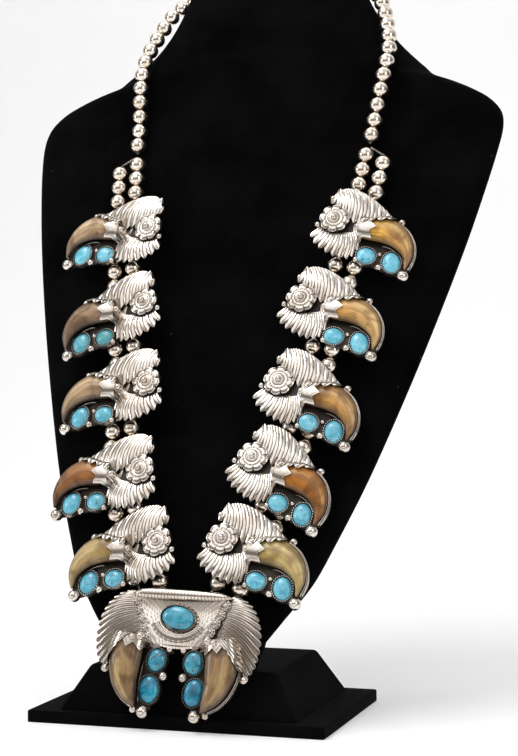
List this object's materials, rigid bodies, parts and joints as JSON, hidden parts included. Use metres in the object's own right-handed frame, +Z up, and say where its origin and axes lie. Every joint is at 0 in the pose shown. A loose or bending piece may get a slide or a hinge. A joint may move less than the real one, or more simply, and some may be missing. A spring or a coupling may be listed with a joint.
{
  "type": "squash blossom necklace on a neck bust",
  "caption": "Silver bead necklace with claw and turquoise side pendants and a horseshoe-shaped claw centrepiece, on a leaning black velvet neck bust with a stepped base.",
  "frame": {"origin": "under the middle of the plinth, on the surface that it stands on", "axes": "+Z up along the bust's height, +Y from the front to the back, +X to the viewer's right"},
  "size_m": [0.3, 0.2364, 0.459],
  "materials": {
    "velvet_board": "board covered in matte black velvet",
    "velvet_bust": "matte black velvet over a moulded form",
    "thread": "fine silver foxtail chain",
    "silver_beads": "polished silver with a soft tarnish at the seams",
    "silver_work": "stamped silver with blackened recesses",
    "turquoise": "polished turquoise with dark matrix",
    "horn": "polished horn, amber to brown"
  },
  "bodies": {
    "root": {"plinth": "velvet_board", "block": "velvet_board", "bust": "velvet_bust", "neck_beads_left": "silver_beads", "neck_beads_right": "silver_beads", "neck_thread": "thread", "clasp": "silver_beads", "beads_left_inner": "silver_beads", "beads_left_outer": "silver_beads", "beads_right_inner": "silver_beads", "beads_right_outer": "silver_beads", "threads_left": "thread", "threads_right": "thread", "mount_left_1": "silver_work", "mount_left_2": "silver_work", "mount_left_3": "silver_work", "mount_left_4": "silver_work", "mount_left_5": "silver_work", "mount_right_1": "silver_work", "mount_right_2": "silver_work", "mount_right_3": "silver_work", "mount_right_4": "silver_work", "mount_right_5": "silver_work", "claw_left_1": "horn", "claw_left_2": "horn", "claw_left_3": "horn", "claw_left_4": "horn", "claw_left_5": "horn", "claw_right_1": "horn", "claw_right_2": "horn", "claw_right_3": "horn", "claw_right_4": "horn", "claw_right_5": "horn", "stones_left_1": "turquoise", "stones_left_2": "turquoise", "stones_left_3": "turquoise", "stones_left_4": "turquoise", "stones_left_5": "turquoise", "stones_right_1": "turquoise", "stones_right_2": "turquoise", "stones_right_3": "turquoise", "stones_right_4": "turquoise", "stones_right_5": "turquoise", "naja_mount": "silver_work", "naja_claw_left": "horn", "naja_claw_right": "horn", "naja_centre_stone": "turquoise", "naja_stones_left": "turquoise", "naja_stones_right": "turquoise"}
  },
  "joints": []
}
